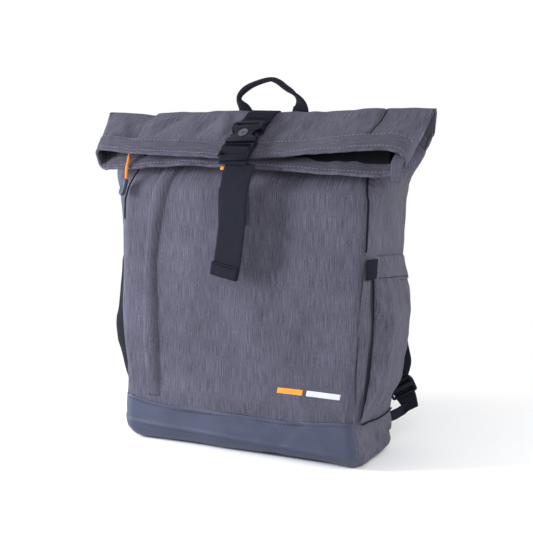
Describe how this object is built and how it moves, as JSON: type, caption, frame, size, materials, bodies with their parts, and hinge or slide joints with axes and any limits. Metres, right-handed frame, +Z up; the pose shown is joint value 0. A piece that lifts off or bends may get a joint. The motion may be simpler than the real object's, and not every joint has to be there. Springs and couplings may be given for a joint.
{
  "type": "roll-top backpack",
  "caption": "Fold-over roll-top flight backpack, closed and buckled: heather fabric body, coated base band, webbing closure with side-release buckle, side pockets, padded straps.",
  "frame": {"origin": "middle of the object's box, on the surface that the bag stands on", "axes": "+Z up, -Y is the front (the side with the closure strap and the label marks), +X is to the right seen from the front"},
  "size_m": [0.4134, 0.1762, 0.427],
  "materials": {
    "heather_fabric": "woven two-tone polyester with vertical streaks",
    "coated_fabric": "polyurethane-coated, smooth with a fine leather-like grain",
    "webbing": "woven nylon webbing",
    "buckle_plastic": "moulded acetal, satin",
    "emblem_plastic": "polished disc",
    "orange_cord": "braided cord",
    "orange_print": "printed",
    "pale_print": "printed",
    "puller_rubber": "soft moulded rubber",
    "air_mesh": "open knitted spacer mesh over foam",
    "foam": "closed-cell foam",
    "lining": "plain lining cloth",
    "zip_tape": "knitted zip tape and nylon coil",
    "zip_metal": "dark nickel"
  },
  "bodies": {
    "root": {"front_panel": "heather_fabric", "back_panel": "heather_fabric", "side_panel_left": "heather_fabric", "side_panel_right": "heather_fabric", "base_panel": "coated_fabric", "base_front_band": "coated_fabric", "base_board": "foam", "back_foam": "foam", "laptop_sleeve": "lining", "front_pocket_lining": "lining", "front_zip_tape": "zip_tape", "front_zip_coil": "zip_tape", "zip_placket": "heather_fabric", "label_bar_orange": "orange_print", "label_bar_pale": "pale_print", "right_pocket": "heather_fabric", "right_pocket_band": "heather_fabric", "right_pocket_elastic": "webbing", "right_pocket_gusset": "heather_fabric", "left_mesh_pocket": "air_mesh", "left_pocket_binding": "webbing", "closure_strap_anchor": "webbing", "closure_fixed_webbing": "webbing", "handle_patch": "webbing", "back_pad_left": "air_mesh", "back_pad_right": "air_mesh", "lumbar_pad": "air_mesh", "shoulder_strap_left": "air_mesh", "ladder_lock_left": "buckle_plastic", "adjuster_webbing_left": "webbing", "corner_tab_left": "webbing", "shoulder_strap_right": "air_mesh", "ladder_lock_right": "buckle_plastic", "adjuster_webbing_right": "webbing", "corner_tab_right": "webbing"},
    "roll_top": {"roll_top_back_panel": "heather_fabric", "roll_top_front_panel": "heather_fabric", "roll_top_side_left": "heather_fabric", "roll_top_side_right": "heather_fabric", "hem_band_back": "heather_fabric", "hem_band_front": "heather_fabric", "lip_tab": "orange_cord", "mouth_zip_tape_back": "zip_tape", "mouth_zip_tape_front": "zip_tape", "mouth_zip_coil": "zip_tape", "zip_end_tab": "heather_fabric", "closure_strap": "webbing", "buckle_female": "buckle_plastic", "buckle_disc": "emblem_plastic"},
    "buckle_male": {"buckle_male": "buckle_plastic", "webbing_turn": "webbing"},
    "prong_left": {"buckle_prong_left": "buckle_plastic"},
    "prong_right": {"buckle_prong_right": "buckle_plastic"},
    "closure_tail": {"closure_tail": "webbing"},
    "grab_handle": {"grab_handle": "webbing"},
    "mouth_zip_slider": {"mouth_zip_slider": "zip_metal", "puller_loop": "orange_cord"},
    "puller": {"puller_cord": "orange_cord", "puller_tip": "puller_rubber"},
    "front_zip_slider": {"front_zip_slider": "zip_metal"}
  },
  "joints": [
    {"name": "roll_top_unfold", "type": "hinge", "parent": "root", "child": "roll_top", "pos_m": [0, 0.01559, 0.384], "axis": [-1, 0, 0], "range_deg": [0, 104]},
    {"name": "buckle_release", "type": "slide", "parent": "roll_top", "child": "buckle_male", "axis": [0, 0.8387, 0.5446], "range_m": [-0.03, 0]},
    {"name": "prong_left_squeeze", "type": "hinge", "parent": "buckle_male", "child": "prong_left", "pos_m": [-0.013, -0.05822, 0.35205], "axis": [0, 0.5446, -0.8387], "range_deg": [0, 8], "stiffness_Nm_per_rad": 1, "deforming": ["buckle_prong_left", "buckle_prong_right"]},
    {"name": "prong_right_squeeze", "type": "hinge", "parent": "buckle_male", "child": "prong_right", "pos_m": [0.013, -0.05822, 0.35205], "axis": [0, 0.5446, -0.8387], "range_deg": [-8, 0], "stiffness_Nm_per_rad": 1},
    {"name": "closure_tail_swing", "type": "hinge", "parent": "buckle_male", "child": "closure_tail", "pos_m": [0, -0.0857, 0.33837], "axis": [-1, 0, 0], "range_deg": [0, 118]},
    {"name": "grab_handle_swing", "type": "hinge", "parent": "root", "child": "grab_handle", "pos_m": [0, 0.03159, 0.372], "axis": [-1, 0, 0], "range_deg": [0, 95]},
    {"name": "mouth_zip_slide", "type": "slide", "parent": "roll_top", "child": "mouth_zip_slider", "axis": [1, 0, 0], "range_m": [0, 0.28], "deforming": ["mouth_zip_coil", "puller_loop", "puller_cord", "puller_tip"]},
    {"name": "puller_swing", "type": "hinge", "parent": "mouth_zip_slider", "child": "puller", "pos_m": [-0.137, -0.07289, 0.32654], "axis": [-1, 0, 0], "range_deg": [0, 60]},
    {"name": "front_zip_slide", "type": "slide", "parent": "root", "child": "front_zip_slider", "axis": [0, 0, -1], "range_m": [0, 0.2], "deforming": ["front_zip_coil"]}
  ],
  "couplings": [
    {"joint": "prong_right_squeeze", "follows": "prong_left_squeeze", "ratio": -1}
  ]
}
